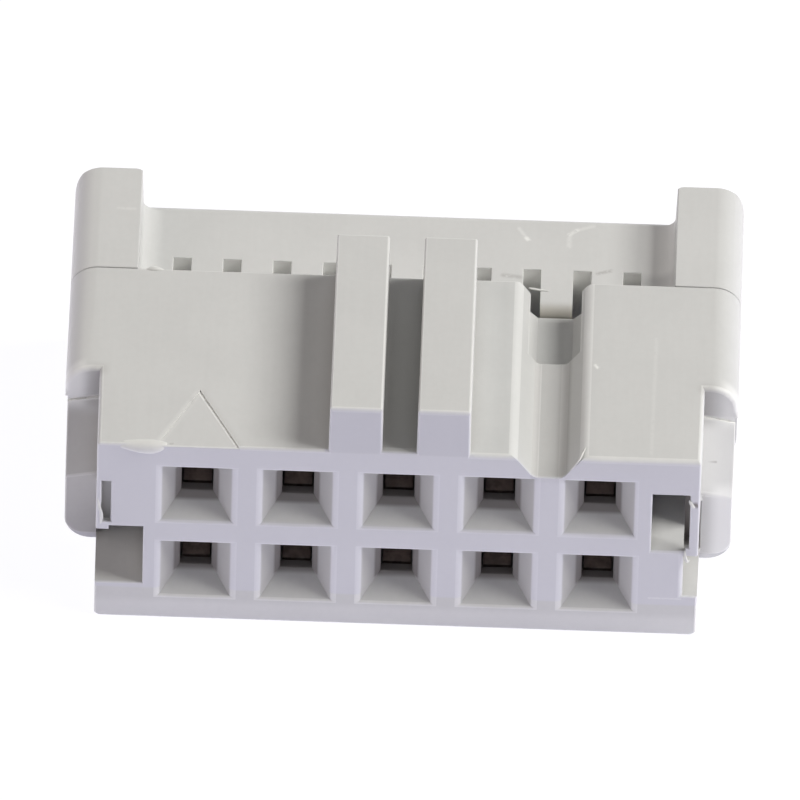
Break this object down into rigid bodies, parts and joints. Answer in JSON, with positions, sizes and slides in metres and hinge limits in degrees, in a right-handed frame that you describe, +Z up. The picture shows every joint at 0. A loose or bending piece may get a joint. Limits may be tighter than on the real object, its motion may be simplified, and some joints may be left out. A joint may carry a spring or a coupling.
{
  "type": "insulation displacement connector",
  "caption": "Two-row ribbon-cable socket: moulded housing with square pin openings and a split polarising key, a clamped cable cover with ears, and cutting-fork contacts inside.",
  "frame": {"origin": "under the middle of the part, on the table", "axes": "+X along the columns, +Y from the mating face to the cable cover, +Z up on the side of the polarising key"},
  "size_m": [0.017, 0.0104, 0.0073],
  "materials": {
    "housing": "moulded satin, light grey",
    "cover": "moulded satin, light grey",
    "contact": "stamped, bright"
  },
  "bodies": {
    "root": {"housing": "housing", "cover": "cover", "contact_1": "contact", "contact_2": "contact", "contact_3": "contact", "contact_4": "contact", "contact_5": "contact", "contact_6": "contact", "contact_7": "contact", "contact_8": "contact", "contact_9": "contact", "contact_10": "contact"}
  },
  "joints": []
}
